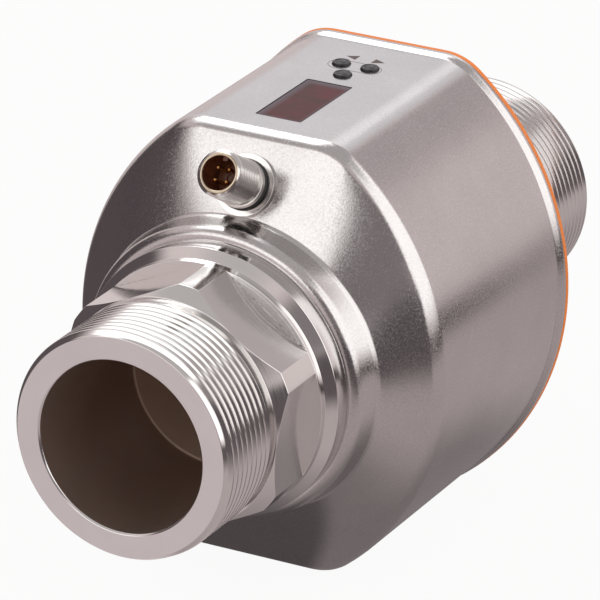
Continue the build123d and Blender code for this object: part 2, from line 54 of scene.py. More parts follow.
def allOff():
    if bpy.context.mode != "OBJECT":
        bpy.ops.object.mode_set(mode="OBJECT")
    bpy.ops.object.select_all(action="DESELECT")


def pick(piece):
    allOff()
    piece.select_set(True)
    bpy.context.view_layer.objects.active = piece


def openForEdit(piece):
    pick(piece)
    bpy.ops.object.mode_set(mode="EDIT")
    bpy.ops.mesh.select_mode(type="VERT")
    bpy.ops.mesh.select_all(action="DESELECT")


def closeEdit():
    bpy.ops.object.mode_set(mode="OBJECT")


def startAtPoint(name, place):
    # a new piece that is one vertex, left in edit mode
    allOff()
    bpy.ops.mesh.primitive_plane_add(size=mm)
    piece = bpy.context.object
    piece.name = name
    bpy.ops.object.mode_set(mode="EDIT")
    bpy.ops.mesh.select_mode(type="VERT")
    bpy.ops.mesh.select_all(action="SELECT")
    bpy.ops.mesh.merge(type="CENTER")
    bpy.ops.transform.translate(value=place)
    return piece


def extrudeBy(step):
    bpy.ops.mesh.extrude_vertices_move(TRANSFORM_OT_translate={"value": step})


def drawProfile(points):
    # follows (radius, along) points in millimetres from the first one, and back to it
    closed = list(points) + [points[0]]
    for here, there in zip(closed, closed[1:]):
        extrudeBy(((there[0] - here[0]) * mm, 0, (there[1] - here[1]) * mm))
    bpy.ops.mesh.select_all(action="SELECT")
    bpy.ops.mesh.remove_doubles(threshold=hairline)


def outward():
    bpy.ops.mesh.select_all(action="SELECT")
    bpy.ops.mesh.remove_doubles(threshold=hairline)
    bpy.ops.mesh.normals_make_consistent(inside=False)


def turned(name, points, steps=192):
    # a closed profile spun about Z
    piece = startAtPoint(name, (points[0][0] * mm, 0, points[0][1] * mm))
    drawProfile(points)
    bpy.ops.mesh.select_all(action="SELECT")
    bpy.ops.mesh.spin(steps=steps, angle=2 * pi, center=(0, 0, 0), axis=(0, 0, 1))
    outward()
    bpy.ops.mesh.delete_loose()
    closeEdit()
    return piece


def settle(piece, place):
    # moves a finished piece and leaves its object at the origin
    pick(piece)
    piece.matrix_world = place
    bpy.ops.object.transform_apply(location=True, rotation=True, scale=True)


def finishModifier(piece, modifier):
    pick(piece)
    bpy.ops.object.modifier_apply(modifier=modifier.name)


def easeEdges(piece, width, segments=2, angle=25):
    edge = piece.modifiers.new("edges", "BEVEL")
    edge.width = width * mm
    edge.segments = segments
    edge.limit_method = "ANGLE"
    edge.angle_limit = radians(angle)
    edge.use_clamp_overlap = True
    finishModifier(piece, edge)


def withTool(piece, tool, operation="DIFFERENCE"):
    cut = piece.modifiers.new("cut", "BOOLEAN")
    cut.operation = operation
    cut.solver = "EXACT"
    cut.object = tool
    finishModifier(piece, cut)
    bpy.data.objects.remove(tool)


def smoothOver(piece, angle=30):
    pick(piece)
    bpy.ops.object.shade_smooth_by_angle(angle=radians(angle))
    weights = piece.modifiers.new("weights", "WEIGHTED_NORMAL")
    weights.mode = "FACE_AREA"
    weights.weight = 60
    weights.keep_sharp = True
    finishModifier(piece, weights)


def twin(piece, name):
    other = piece.copy()
    other.data = piece.data.copy()
    other.name = name
    bpy.context.scene.collection.objects.link(other)
    return other


def dress(piece, finish, body="sensor"):
    piece.data.materials.clear()
    piece.data.materials.append(finish)
    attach(piece, body)


def threadTool(name, thread):
    # the closed coil of metal that a thread cutter takes away; it starts and ends outside the metal
    major, minor, ease = thread["major"], thread["minor"], thread["crestRound"]
    groove = thread["pitch"] / 2 - thread["crestFlat"] / 2
    root = thread["rootFlat"] / 2
    crestFall, rootRise, rootLevel = 0.8, 0.35, 0.4
    half = [
        (major + thread["past"], groove), (major, groove), (major - ease, groove - ease * crestFall),
        (minor + ease / 2, root + ease * rootRise), (minor, root * rootLevel),
    ]
    section = [(radius, thread["start"] - along) for radius, along in half]
    section += [(radius, thread["start"] + along) for radius, along in reversed(half)]
    tool = startAtPoint(name, (section[0][0] * mm, 0, section[0][1] * mm))
    drawProfile(section)
    closeEdit()
    wind = tool.modifiers.new("wind", "SCREW")
    wind.axis = "Z"
    wind.angle = 2 * pi
    wind.steps = wind.render_steps = thread["steps"]
    wind.iterations = thread["turns"]
    wind.screw_offset = thread["pitch"] * mm
    wind.use_merge_vertices = True
    finishModifier(tool, wind)
    openForEdit(tool)
    bpy.ops.mesh.select_all(action="SELECT")
    bpy.ops.mesh.fill_holes(sides=0)
    outward()
    closeEdit()
    return tool


# finishes

def newFinish(name):
    finish = bpy.data.materials.new(name)
    finish.use_nodes = True
    tree = finish.node_tree
    return finish, tree, tree.nodes["Principled BSDF"]


def addNode(tree, kind, **values):
    node = tree.nodes.new(kind)
    for key, value in values.items():
        setattr(node, key, value)
    return node


def objectPlace(tree):
    return addNode(tree, "ShaderNodeTexCoord").outputs["Object"]


def grain(tree, vector, scale, detail=3.0, rough=0.55):
    noise = addNode(tree, "ShaderNodeTexNoise")
    noise.inputs["Scale"].default_value = scale
    noise.inputs["Detail"].default_value = detail
    noise.inputs["Roughness"].default_value = rough
    tree.links.new(vector, noise.inputs["Vector"])
    return noise.outputs["Fac"]


def ramp(tree, source, stops):
    node = addNode(tree, "ShaderNodeValToRGB")
    while len(node.color_ramp.elements) < len(stops):
        node.color_ramp.elements.new(0.5)
    for element, (place, colour) in zip(node.color_ramp.elements, stops):
        element.position = place
        element.color = (*colour, 1)
    tree.links.new(source, node.inputs["Fac"])
    return node.outputs["Color"]


def span(tree, source, low, high, fromLow=noiseLow, fromHigh=noiseHigh):
    node = addNode(tree, "ShaderNodeMapRange")
    node.inputs["From Min"].default_value = fromLow
    node.inputs["From Max"].default_value = fromHigh
    node.inputs["To Min"].default_value = low
    node.inputs["To Max"].default_value = high
    tree.links.new(source, node.inputs["Value"])
    return node.outputs["Result"]


def bumped(tree, shader, height, distance):
    bump = addNode(tree, "ShaderNodeBump")
    bump.inputs["Strength"].default_value = 1.0
    bump.inputs["Distance"].default_value = distance * mm
    tree.links.new(height, bump.inputs["Height"])
    tree.links.new(bump.outputs["Normal"], shader.inputs["Normal"])


def tone(colour, factor):
    return tuple(channel * factor for channel in colour)


def times(tree, one, other):
    node = addNode(tree, "ShaderNodeMath", operation="MULTIPLY")
    tree.links.new(one, node.inputs[0])
    tree.links.new(other, node.inputs[1])
    return node.outputs["Value"]


def mixTone(tree, factor, one, other):
    # each of the two is a socket or a plain colour
    mix = addNode(tree, "ShaderNodeMix", data_type="RGBA")
    tree.links.new(factor, mix.inputs["Factor"])
    for colour, socket in ((one, mix.inputs[mixFirst]), (other, mix.inputs[mixSecond])):
        if isinstance(colour, tuple):
            socket.default_value = (*colour, 1)
        else:
            tree.links.new(colour, socket)
    return mix.outputs[mixResult]


def drifting(tree, source, look):
    # a finish's colour, a little darker or lighter from patch to patch
    low, high = tone(look["colour"], 1 - look["drift"]), tone(look["colour"], 1 + look["drift"])
    return ramp(tree, source, [(noiseLow, low), (noiseHigh, high)])


def plainFinish(name, look):
    # moulded, cast or plated stock: colour drift, grain in the gloss and a fine bump
    finish, tree, shader = newFinish(name)
    place = objectPlace(tree)
    broad = grain(tree, place, look["patch"], 2.0)
    fine = grain(tree, place, look["grain"], 4.0)
    tree.links.new(drifting(tree, broad, look), shader.inputs["Base Color"])
    spread = 0.06
    gloss = span(tree, fine, look["rough"] - spread, look["rough"] + spread)
    tree.links.new(gloss, shader.inputs["Roughness"])
    shader.inputs["Metallic"].default_value = look["metal"]
    bumped(tree, shader, fine, look["bump"])
    return finish


def turnedFinish(name, look):
    # steel off the lathe: feed lines run round the axis, on faces and on diameters
    finish, tree, shader = newFinish(name)
    place = objectPlace(tree)
    split = addNode(tree, "ShaderNodeSeparateXYZ")
    tree.links.new(place, split.inputs["Vector"])
    across = addNode(tree, "ShaderNodeCombineXYZ")
    tree.links.new(split.outputs["X"], across.inputs["X"])
    tree.links.new(split.outputs["Z"], across.inputs["Z"])
    radius = addNode(tree, "ShaderNodeVectorMath", operation="LENGTH")
    tree.links.new(across.outputs["Vector"], radius.inputs[0])
    line = addNode(tree, "ShaderNodeCombineXYZ")
    tree.links.new(radius.outputs["Value"], line.inputs["X"])
    tree.links.new(split.outputs["Y"], line.inputs["Y"])
    feed = grain(tree, line.outputs["Vector"], look["feed"], 2.0, 0.6)
    broad = grain(tree, place, look["patch"])
    tree.links.new(drifting(tree, broad, look), shader.inputs["Base Color"])
    smoother, rougher = 0.05, 0.07
    gloss = span(tree, feed, look["rough"] - smoother, look["rough"] + rougher)
    tree.links.new(gloss, shader.inputs["Roughness"])
    shader.inputs["Metallic"].default_value = look["metal"]
    bumped(tree, shader, feed, look["bump"])
    return finish


def blastedFinish(name, look):
    # drawn steel, bead-blasted: a fine frosted grain over slow drifts of tone
    finish, tree, shader = newFinish(name)
    place = objectPlace(tree)
    frost = grain(tree, place, look["frost"], 3.0, 0.7)
    speck = grain(tree, place, look["speck"], 2.0, 0.6)
    broad = grain(tree, place, look["patch"])
    mix = addNode(tree, "ShaderNodeMix", data_type="RGBA", blend_type="MULTIPLY")
    mix.inputs["Factor"].default_value = look["speckDepth"]
    tree.links.new(drifting(tree, broad, look), mix.inputs[mixFirst])
    tree.links.new(ramp(tree, speck, look["speckStops"]), mix.inputs[mixSecond])
    tree.links.new(mix.outputs[mixResult], shader.inputs["Base Color"])
    low, high = look["rough"] - look["smoother"], look["rough"] + look["rougher"]
    gloss = span(tree, frost, low, high, *look["frostRange"])
    tree.links.new(gloss, shader.inputs["Roughness"])
    shader.inputs["Metallic"].default_value = 1.0
    bumped(tree, shader, frost, look["bump"])
    return finish


turnedSteel = turnedFinish("turnedSteel", {
    "colour": (0.78, 0.765, 0.755), "rough": 0.10, "drift": 0.03, "patch": 60, "feed": 2600, "bump": 0.004,
    "metal": 1.0})
# painted shade and painted reflection: the same steel as the fitting, darker and browner in the bore, for the
# shade in it and the tan liner it reflects
boreShadeSteel = turnedFinish("boreShadeSteel", {
    "colour": (0.47, 0.37, 0.315), "rough": 0.36, "drift": 0.08, "patch": 40, "feed": 2200, "bump": 0.004,
    "metal": 0.78})
drawnSteel = blastedFinish("drawnSteel", {
    "colour": (0.63, 0.61, 0.605), "rough": 0.17, "smoother": 0.05, "rougher": 0.12, "drift": 0.04,
    "patch": 55, "frost": 2000, "frostRange": (0.38, 0.68), "speck": 1900, "speckDepth": 0.16,
    "speckStops": [(0.35, (0.55, 0.53, 0.52)), (0.65, (1, 1, 1))], "bump": 0.017})
plugSteel = turnedFinish("plugSteel", {
    "colour": (0.70, 0.68, 0.66), "rough": 0.16, "drift": 0.02, "patch": 90, "feed": 3200, "bump": 0.002,
    "metal": 1.0})
plainFields = ("colour", "rough", "drift", "patch", "grain", "bump", "metal")
plainLooks = {
    "linerPlastic": ((0.62, 0.48, 0.38), 0.42, 0.06, 60, 900, 0.01, 0.0),
    "orangeRubber": ((0.86, 0.235, 0.035), 0.5, 0.03, 70, 1200, 0.01, 0.0),
    "blackRubber": ((0.02, 0.02, 0.02), 0.55, 0.1, 90, 1500, 0.01, 0.0),
    "keyRubber": ((0.016, 0.014, 0.017), 0.33, 0.08, 300, 2600, 0.006, 0.0),
    "groundSteel": ((0.62, 0.61, 0.60), 0.25, 0.03, 90, 1800, 0.004, 1.0),
    "softIron": ((0.22, 0.21, 0.20), 0.48, 0.12, 80, 900, 0.02, 1.0),
    "zincSteel": ((0.60, 0.60, 0.57), 0.32, 0.08, 160, 700, 0.006, 1.0),
    "bobbinPlastic": ((0.03, 0.03, 0.03), 0.45, 0.1, 80, 1400, 0.01, 0.0),
    "carrierPlastic": ((0.05, 0.05, 0.055), 0.5, 0.08, 60, 1300, 0.015, 0.0),
    "laminate": ((0.01, 0.10, 0.045), 0.35, 0.12, 240, 1600, 0.01, 0.0),
    "displayBlack": ((0.02, 0.012, 0.012), 0.25, 0.08, 120, 1200, 0.004, 0.0),
    "switchPlastic": ((0.025, 0.025, 0.025), 0.4, 0.1, 200, 1600, 0.006, 0.0),
    "coreBrown": ((0.17, 0.065, 0.03), 0.4, 0.12, 300, 2400, 0.006, 0.0),
    "cavityCopper": ((0.56, 0.30, 0.16), 0.34, 0.15, 300, 2200, 0.006, 1.0),
    "rimBrass": ((0.60, 0.50, 0.38), 0.24, 0.06, 300, 2400, 0.002, 1.0),
    "contactGold": ((0.52, 0.29, 0.11), 0.22, 0.05, 400, 2400, 0.002, 1.0),
    "markBrown": ((0.085, 0.055, 0.045), 0.5, 0.1, 500, 2600, 0.004, 0.0),
}
plain = {name: plainFinish(name, dict(zip(plainFields, look))) for name, look in plainLooks.items()}


def coilFinish(look):
    # enamelled wire, wound turn beside turn
    finish, tree, shader = newFinish("coilWire")
    turns = addNode(tree, "ShaderNodeTexWave", wave_type="BANDS", bands_direction="Z")
    turns.inputs["Scale"].default_value = look["turns"]
    turns.inputs["Distortion"].default_value = look["waver"]
    tree.links.new(objectPlace(tree), turns.inputs["Vector"])
    tree.links.new(ramp(tree, turns.outputs["Fac"], look["wireStops"]), shader.inputs["Base Color"])
    shader.inputs["Metallic"].default_value = 1.0
    shader.inputs["Roughness"].default_value = look["rough"]
    shader.inputs["Coat Weight"].default_value = look["coat"]
    bumped(tree, shader, turns.outputs["Fac"], look["bump"])
    return finish


def windowFinish(look):
    # tinted clear plastic: a black rim of painted shade, for the shadowed gap and side faces round the pane,
    # wider at the right and front edges, and a grey border that eases into the brown filter
    finish, tree, shader = newFinish("windowTint")
    place = objectPlace(tree)

    def within(low, high, soft):
        # 1 inside a rectangle on the panel, eased over its edge
        centre = addNode(tree, "ShaderNodeMapping")
        centre.inputs["Location"].default_value = tuple(-(a + b) / 2 * mm for a, b in zip(low, high)) + (0,)
        tree.links.new(place, centre.inputs["Vector"])
        size = addNode(tree, "ShaderNodeVectorMath", operation="ABSOLUTE")
        tree.links.new(centre.outputs["Vector"], size.inputs[0])
        split = addNode(tree, "ShaderNodeSeparateXYZ")
        tree.links.new(size.outputs["Vector"], split.inputs["Vector"])
        sides = []
        for axis, a, b in zip("XY", low, high):
            half = (b - a) / 2 * mm
            sides.append(span(tree, split.outputs[axis], 1, 0, half - soft * mm, half + soft * mm))
        return times(tree, *sides)

    cloud = grain(tree, place, look["cloud"], 2.0)
    borderTone = drifting(tree, cloud, look["border"])
    filterShare = within(look["filterFrom"], look["filterTo"], look["filterSoft"])
    inner = mixTone(tree, filterShare, borderTone, ramp(tree, cloud, look["filterStops"]))
    # painted shade: the pane's outer edge, widest at the right and front, is darkened as if the gap round it
    # lay in shadow
    gapShadeShare = within(look["gapShadeFrom"], look["gapShadeTo"], look["gapShadeSoft"])
    tree.links.new(mixTone(tree, gapShadeShare, look["rim"], inner), shader.inputs["Base Color"])
    tree.links.new(span(tree, cloud, look["roughLow"], look["roughHigh"]), shader.inputs["Roughness"])
    shader.inputs["IOR"].default_value = look["ior"]
    return finish


coilWire = coilFinish({
    "turns": 700, "waver": 0.4, "wireStops": [(0.1, (0.20, 0.06, 0.02)), (0.8, (0.62, 0.26, 0.11))],
    "rough": 0.3, "coat": 0.6, "bump": 0.08})
windowTint = windowFinish({
    # the rim colour is painted shade of the gap round the pane
    "rim": (0.012, 0.008, 0.01), "gapShadeFrom": (-6.2, -20.7), "gapShadeTo": (6.0, 6.85), "gapShadeSoft": 0.06,
    "border": {"colour": (0.115, 0.085, 0.10), "drift": 0.1},
    "filterFrom": (-4.7, -20.3), "filterTo": (5.9, 4.9), "filterSoft": 0.9,
    "filterStops": [(0.35, (0.062, 0.016, 0.012)), (0.65, (0.105, 0.016, 0.020))],
    "cloud": 150, "roughLow": 0.14, "roughHigh": 0.22, "ior": 1.2})
print("finishes made")


# process fittings: pipe thread, spanner hexagon, collar

fitting = {
    "boreR": 22.3, "mouthEase": 0.5, "endS": 100.0, "faceR": 28.5, "majorR": 29.8, "chamfer": 1.9,
    "threadEnd": 79.0, "reliefR": 28.1, "reliefRise": 0.3, "reliefBend": 0.25, "reliefStep": 0.6,
    "edge": 0.12, "coneStart": 57.0, "coneEnd": 55.0, "collarR": 35.6, "collarRear": 50.0, "collarEase": 0.35,
    "spigotR": 33.9, "spigotEnd": 38.0, "socketR": 25.6, "socketEnd": 54.1,
    "hexFront": 76.0, "hexRear": 59.0, "hexR": 33.11, "barR": 33.15, "barCoreR": 27.1, "barSink": 0.6,
    "barEdge": 0.18, "flatR": 30.0, "cornerAngle": 23.5, "chamferAngle": 45.0,
}
pipeThread = {"pitch": 2.309, "major": 29.72, "minor": 28.34, "crestFlat": 0.36, "rootFlat": 0.36,
              "crestRound": 0.16, "past": 0.4, "start": 77.6, "turns": 11, "steps": 96}
towardInlet = Matrix.Rotation(radians(90), 4, "X")
towardOutlet = Matrix.Rotation(pi, 4, "Z") @ towardInlet


def fittingPiece(name, f):
    # a turned body, a hexagonal bar sunk into it, and the thread cut last
    body = turned(name, [
        (f["boreR"] + f["mouthEase"], f["endS"]), (f["faceR"], f["endS"]),
        (f["majorR"], f["endS"] - f["chamfer"]), (f["majorR"], f["threadEnd"]),
        (f["reliefR"] + f["reliefRise"], f["threadEnd"] - f["reliefBend"]),
        (f["reliefR"], f["threadEnd"] - f["reliefStep"]), (f["reliefR"], f["hexRear"]),
        (f["barR"], f["hexRear"]), (f["barR"], f["coneStart"]), (f["collarR"], f["coneEnd"]),
        (f["collarR"], f["collarRear"] + f["collarEase"]), (f["collarR"] - f["collarEase"], f["collarRear"]),
        (f["spigotR"], f["collarRear"]), (f["spigotR"], f["spigotEnd"]), (f["socketR"], f["spigotEnd"]),
        (f["socketR"], f["socketEnd"]), (f["boreR"], f["socketEnd"]),
        (f["boreR"], f["endS"] - f["mouthEase"]),
    ])
    easeEdges(body, f["edge"])
    drop = (f["hexR"] - f["flatR"]) * tan(radians(f["chamferAngle"]))
    barRear = f["hexRear"] - f["barSink"]
    bar = turned(name + "Bar", [
        (f["barCoreR"], barRear), (f["hexR"], barRear), (f["hexR"], f["hexFront"] - drop),
        (f["flatR"] - apart, f["hexFront"]), (f["barCoreR"], f["hexFront"]),
    ])
    openForEdit(bar)
    for flat in range(6):
        angle = radians(f["cornerAngle"] + 30 + 60 * flat)
        side = Vector((cos(angle), sin(angle), 0))
        bpy.ops.mesh.select_all(action="SELECT")
        bpy.ops.mesh.bisect(plane_co=side * f["flatR"] * mm, plane_no=side, use_fill=True, clear_outer=True)
    outward()
    closeEdit()
    easeEdges(bar, f["barEdge"], 2, 15)
    withTool(body, bar, "UNION")
    withTool(body, threadTool(name + "Thread", pipeThread))
    openForEdit(body)
    outward()
    closeEdit()
    return body


def markBore(piece, radius, boreShade):
    # the bore's own wall gets the darker, browner copy of the steel, painted shade and a painted reflection
    # of the liner; faces across the flow keep theirs
    piece.data.materials.append(boreShade)
    acrossFlow = 0.3
    for face in piece.data.polygons:
        middle = Vector((face.center.x, 0, face.center.z))
        if middle.length < radius * mm and abs(face.normal.y) < acrossFlow:
            face.material_index = 1


inletFitting = fittingPiece("inletFitting", fitting)
outletFitting = twin(inletFitting, "outletFitting")
for piece, place, node in ((inletFitting, towardInlet, "inlet_fitting"),
                           (outletFitting, towardOutlet, "outlet_fitting")):
    settle(piece, place)
    smoothOver(piece)
    dress(piece, turnedSteel)
    markBore(piece, fitting["boreR"] + 2 * apart, boreShadeSteel)
    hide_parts(node)
print("fittings made")


# housing: rings of the barrel section, bridged one to the next

housing = {
    "width": 102.4, "height": 116.6, "flat": 31.6, "cornerR": 14.35, "wall": 1.5, "frontY": -30.0,
    "rearY": 38.7, "slope": 30.0, "neckR": 38.6, "footFlat": 2.0, "lipY": -50.0, "lipRound": 3.0,
    "lipInnerR": 34.0, "frontEase": 2.65, "footEase": 0.9, "flare": 0.9, "flareStart": 35.9, "flareEnd": 37.9,
    "flareSteps": 4, "cornerSteps": 12, "sideSteps": 48, "crossCuts": 3,
}
halfFlat = housing["flat"] / 2
cornerZ = housing["height"] / 2 - housing["cornerR"]
cornerReach = housing["width"] / 2 - housing["cornerR"]
sideX = (halfFlat ** 2 + cornerZ ** 2 - cornerReach ** 2) / (2 * cornerReach - housing["flat"])
barrelTurn = atan2(cornerZ, halfFlat + sideX)
sideR = housing["width"] / 2 + sideX
footY = housing["frontY"] - (housing["height"] / 2 - housing["neckR"]) * tan(radians(housing["slope"]))


def barrelRing(inset, y):
    return {"flat": halfFlat, "cornerZ": cornerZ, "cornerR": housing["cornerR"] - inset, "sideX": -sideX,
            "sideR": sideR - inset, "y": y}


def roundRing(radius, y, flat=2 * apart):
    # nearly a circle: its flat is too short to see, and keeps the number of points
    half = flat / 2
    return {"flat": half, "cornerZ": 0, "cornerR": radius, "sideX": half, "sideR": radius, "y": y}


def spinPoint(centre, y, angle, steps):
    middle = (centre[0] * mm, y * mm, centre[1] * mm)
    bpy.ops.mesh.spin(steps=steps, angle=-angle, center=middle, axis=(0, 1, 0))


def addRing(piece, ring):
    # one closed outline across the flow, drawn from the top left clockwise
    count = len(bmesh.from_edit_mesh(piece.data).verts)
    y, flat, cz = ring["y"], ring["flat"], ring["cornerZ"]
    top = cz + ring["cornerR"]
    corner, side, steps = pi / 2 - barrelTurn, 2 * barrelTurn, housing["cornerSteps"]
    bpy.ops.mesh.select_all(action="DESELECT")
    bpy.ops.mesh.primitive_plane_add(size=mm)
    bpy.ops.mesh.merge(type="CENTER")
    bpy.ops.transform.translate(value=(-flat * mm, y * mm, top * mm))
    extrudeBy((2 * flat * mm, 0, 0))
    spinPoint((flat, cz), y, corner, steps)
    spinPoint((ring["sideX"], 0), y, side, housing["sideSteps"])
    spinPoint((flat, -cz), y, corner, steps)
    extrudeBy((-2 * flat * mm, 0, 0))
    spinPoint((-flat, -cz), y, corner, steps)
    spinPoint((-ring["sideX"], 0), y, side, housing["sideSteps"])
    spinPoint((-flat, cz), y, corner * (steps - 1) / steps, steps - 1)
    mesh = bmesh.from_edit_mesh(piece.data)
    mesh.verts.ensure_lookup_table()
    for vert in mesh.verts:
        vert.select = vert.index >= count and len(vert.link_edges) == 1
    bmesh.update_edit_mesh(piece.data)
    bpy.ops.mesh.edge_face_add()
    return count


def bridgeRings(piece, starts, closed=False, cuts=None):
    # cuts names the pairs of rings that get extra rings between them
    perRing = 2 * (2 + 2 * housing["cornerSteps"] + housing["sideSteps"] - 1)
    pairs = list(zip(starts, starts[1:])) + ([(starts[-1], starts[0])] if closed else [])
    bpy.ops.mesh.select_mode(type="EDGE")
    for number, (one, two) in enumerate(pairs):
        mesh = bmesh.from_edit_mesh(piece.data)
        mesh.edges.ensure_lookup_table()
        bpy.ops.mesh.select_all(action="DESELECT")
        for edge in mesh.edges:
            ends = [vert.index for vert in edge.verts]
            for start in (one, two):
                if all(start <= end < start + perRing for end in ends):
                    edge.select = True
        bmesh.update_edit_mesh(piece.data)
        bpy.ops.mesh.bridge_edge_loops(number_cuts=(cuts or {}).get(number, 0))
    bpy.ops.mesh.select_mode(type="VERT")


def ringStack(name, rings, closed=False, cuts=None):
    piece = startAtPoint(name, (0, 0, 0))
    bpy.ops.mesh.select_all(action="SELECT")
    bpy.ops.mesh.delete(type="VERT")
    starts = [addRing(piece, ring) for ring in rings]
    bridgeRings(piece, starts, closed, cuts)
    outward()
    closeEdit()
    return piece


def easeRing(piece, y, width, segments):
    # rounds the ring of edges that lies in one plane across the flow
    openForEdit(piece)
    bpy.ops.mesh.select_mode(type="EDGE")
    mesh = bmesh.from_edit_mesh(piece.data)
    for edge in mesh.edges:
        edge.select = all(abs(vert.co.y - y * mm) < 10 * hairline for vert in edge.verts)
    bmesh.update_edit_mesh(piece.data)
    bpy.ops.mesh.bevel(offset=width * mm, segments=segments, affect="EDGES", clamp_overlap=False)
    closeEdit()


def thicken(piece, wall):
    shell = piece.modifiers.new("wall", "SOLIDIFY")
    shell.thickness = wall * mm
    shell.offset = -1
    shell.use_even_offset = False
    finishModifier(piece, shell)


def lipRings(look):
    # the neck's mouth, turned in by a quarter circle
    toward = -1 if look["lipY"] < 0 else 1
    rings, steps = [], 7
    for step in range(steps + 1):
        turn = radians(90) * step / steps
        inward, back = look["lipRound"] * (1 - cos(turn)), look["lipRound"] * (1 - sin(turn))
        rings.append(roundRing(look["neckR"] - inward, look["lipY"] - toward * back))
    return rings + [roundRing(look["lipInnerR"], look["lipY"] - toward * apart)]


def roundTool(name, radius, low, high, place):
    tool = turned(name, [(0, low), (radius, low), (radius, high), (0, high)], roundSteps)
    settle(tool, place)
    return tool


def slotTool(name, width, length, y, low, high, cornerR):
    # an upright block with rounded corners, on the middle plane
    allOff()
    bpy.ops.mesh.primitive_cube_add(size=1)
    tool = bpy.context.object
    tool.name = name
    openForEdit(tool)
    bpy.ops.mesh.select_all(action="SELECT")
    bpy.ops.transform.resize(value=(width * mm, length * mm, (high - low) * mm))
    bpy.ops.transform.translate(value=(0, y * mm, (high + low) / 2 * mm))
    bpy.ops.mesh.select_all(action="DESELECT")
    bpy.ops.mesh.select_mode(type="EDGE")
    mesh = bmesh.from_edit_mesh(tool.data)
    for edge in mesh.edges:
        ends = [vert.co for vert in edge.verts]
        edge.select = abs(ends[0].z - ends[1].z) > hairline
    bmesh.update_edit_mesh(tool.data)
    bpy.ops.mesh.bevel(offset=cornerR * mm, segments=5, affect="EDGES")
    closeEdit()
    return tool


panel = {
    "topZ": 58.3, "cutLow": 54.3, "cutHigh": 60.3, "windowWidth": 12.8, "windowLength": 28.0, "windowY": -7.0,
    "windowR": 0.5, "keyR": 2.4, "keyPlay": 0.1,
    "keys": {"left_key": (-4.04, 20.7), "right_key": (4.04, 20.7), "enter_key": (0, 13.6)},
}
plug = {
    "heightZ": 46.0, "holeR": 6.0, "holeFrom": -6, "holeTo": 3, "flangeR": 8.0, "flangeEnd": 1.2,
    "waistR": 5.2, "waistEnd": 2.7, "shoulderR": 6.3, "shoulderEnd": 4.2, "runoutR": 5.35, "runoutEnd": 5.1,
    "threadStart": 5.4, "threadR": 6.0, "reach": 16.6, "chamfer": 0.8, "cavityR": 4.3, "tailR": 5.9,
    "tailEnd": -9.0, "rimDepth": 0.4, "rimFirst": 15, "rimLast": 140, "rimStep": 25, "edge": 0.09,
}
plugFaceY = housing["frontY"] - (housing["height"] / 2 - plug["heightZ"]) * tan(radians(housing["slope"]))
plugTurn = Matrix.Rotation(radians(90 - housing["slope"]), 4, "X")
plugPlace = Matrix.Translation((0, plugFaceY * mm, plug["heightZ"] * mm)) @ plugTurn


def shellPiece(h):
    # rings from the rear rim to the neck's mouth, then the wall and the openings
    rings = [barrelRing(-h["flare"], h["rearY"])]
    for step in range(h["flareSteps"], 0, -1):
        t = step / h["flareSteps"]
        y = h["flareStart"] + t * (h["flareEnd"] - h["flareStart"])
        rings.append(barrelRing(-h["flare"] * t * t * (3 - 2 * t), y))
    rings += [barrelRing(0, h["flareStart"]), barrelRing(0, h["frontY"])]
    slopeStart = len(rings) - 1
    rings += [roundRing(h["neckR"], footY, h["footFlat"])] + lipRings(h)
    shell = ringStack("housingShell", rings, cuts=dict.fromkeys((slopeStart, slopeStart - 1), h["crossCuts"]))
    easeRing(shell, h["frontY"], h["frontEase"], 8)
    easeRing(shell, footY, h["footEase"], 4)
    thicken(shell, h["wall"])
    low, high = panel["cutLow"], panel["cutHigh"]
    withTool(shell, slotTool("windowHole", panel["windowWidth"], panel["windowLength"], panel["windowY"],
                             low, high, panel["windowR"]))
    for name, (x, y) in panel["keys"].items():
        withTool(shell, roundTool(name + "Hole", panel["keyR"] + panel["keyPlay"], low, high,
                                  Matrix.Translation((x * mm, y * mm, 0))))
    withTool(shell, roundTool("plugHole", plug["holeR"], plug["holeFrom"], plug["holeTo"], plugPlace))
    return shell


housingShell = shellPiece(housing)
smoothOver(housingShell)
dress(housingShell, drawnSteel)
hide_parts("housing_shell")
print("housing made")

cover = {
    "frontY": 40.3, "rimEnd": 42.0, "rimEase": 1.3, "footY": 46.4, "footEase": 0.5, "neckR": 38.6,
    "lipY": 50.0, "lipRound": 2.0, "lipInnerR": 34.0, "slopeCuts": 5,
}
rings = [barrelRing(0, cover["frontY"]), barrelRing(0, cover["rimEnd"]),
         roundRing(cover["neckR"], cover["footY"], housing["footFlat"])]
rearCover = ringStack("rearCover", rings + lipRings(cover), cuts={1: cover["slopeCuts"]})
easeRing(rearCover, cover["rimEnd"], cover["rimEase"], 5)
easeRing(rearCover, cover["footY"], cover["footEase"], 3)
thicken(rearCover, housing["wall"])
smoothOver(rearCover)
dress(rearCover, drawnSteel)
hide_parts("rear_cover")

seal = {
    "frontY": 38.7, "rearY": 40.3, "out": 1.0, "deep": 3.2, "ease": 0.35, "corner": 0.1, "webY": 36.7,
    "webInset": 1.6,
}


def sealRings(s):
    # the section of the ring, from the web inside the shell round the bead that shows
    out, ease, corner = s["out"], s["ease"], s["corner"]
    section = [
        (s["deep"], s["webY"] + apart), (s["webInset"], s["webY"]), (s["webInset"], s["frontY"] + apart),
        (ease - out, s["frontY"]), (corner - out, s["frontY"] + corner), (-out, s["frontY"] + ease),
        (-out, s["rearY"] - ease), (corner - out, s["rearY"] - corner), (ease - out, s["rearY"]),
        (s["deep"], s["rearY"] - apart),
    ]
    return [barrelRing(inset, y) for inset, y in section]


coverSeal = ringStack("coverSeal", sealRings(seal), closed=True)
smoothOver(coverSeal)
dress(coverSeal, plain["orangeRubber"])
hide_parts("cover_seal")
print("cover and seal made")


# window, keys and marks on the top panel

pane = {"play": 0.1, "low": 56.3, "top": 58.15, "edge": 0.12, "flangeOut": 3.4, "flangeLow": 55.2,
        "flangeTop": 56.29, "flangeR": 2.2}


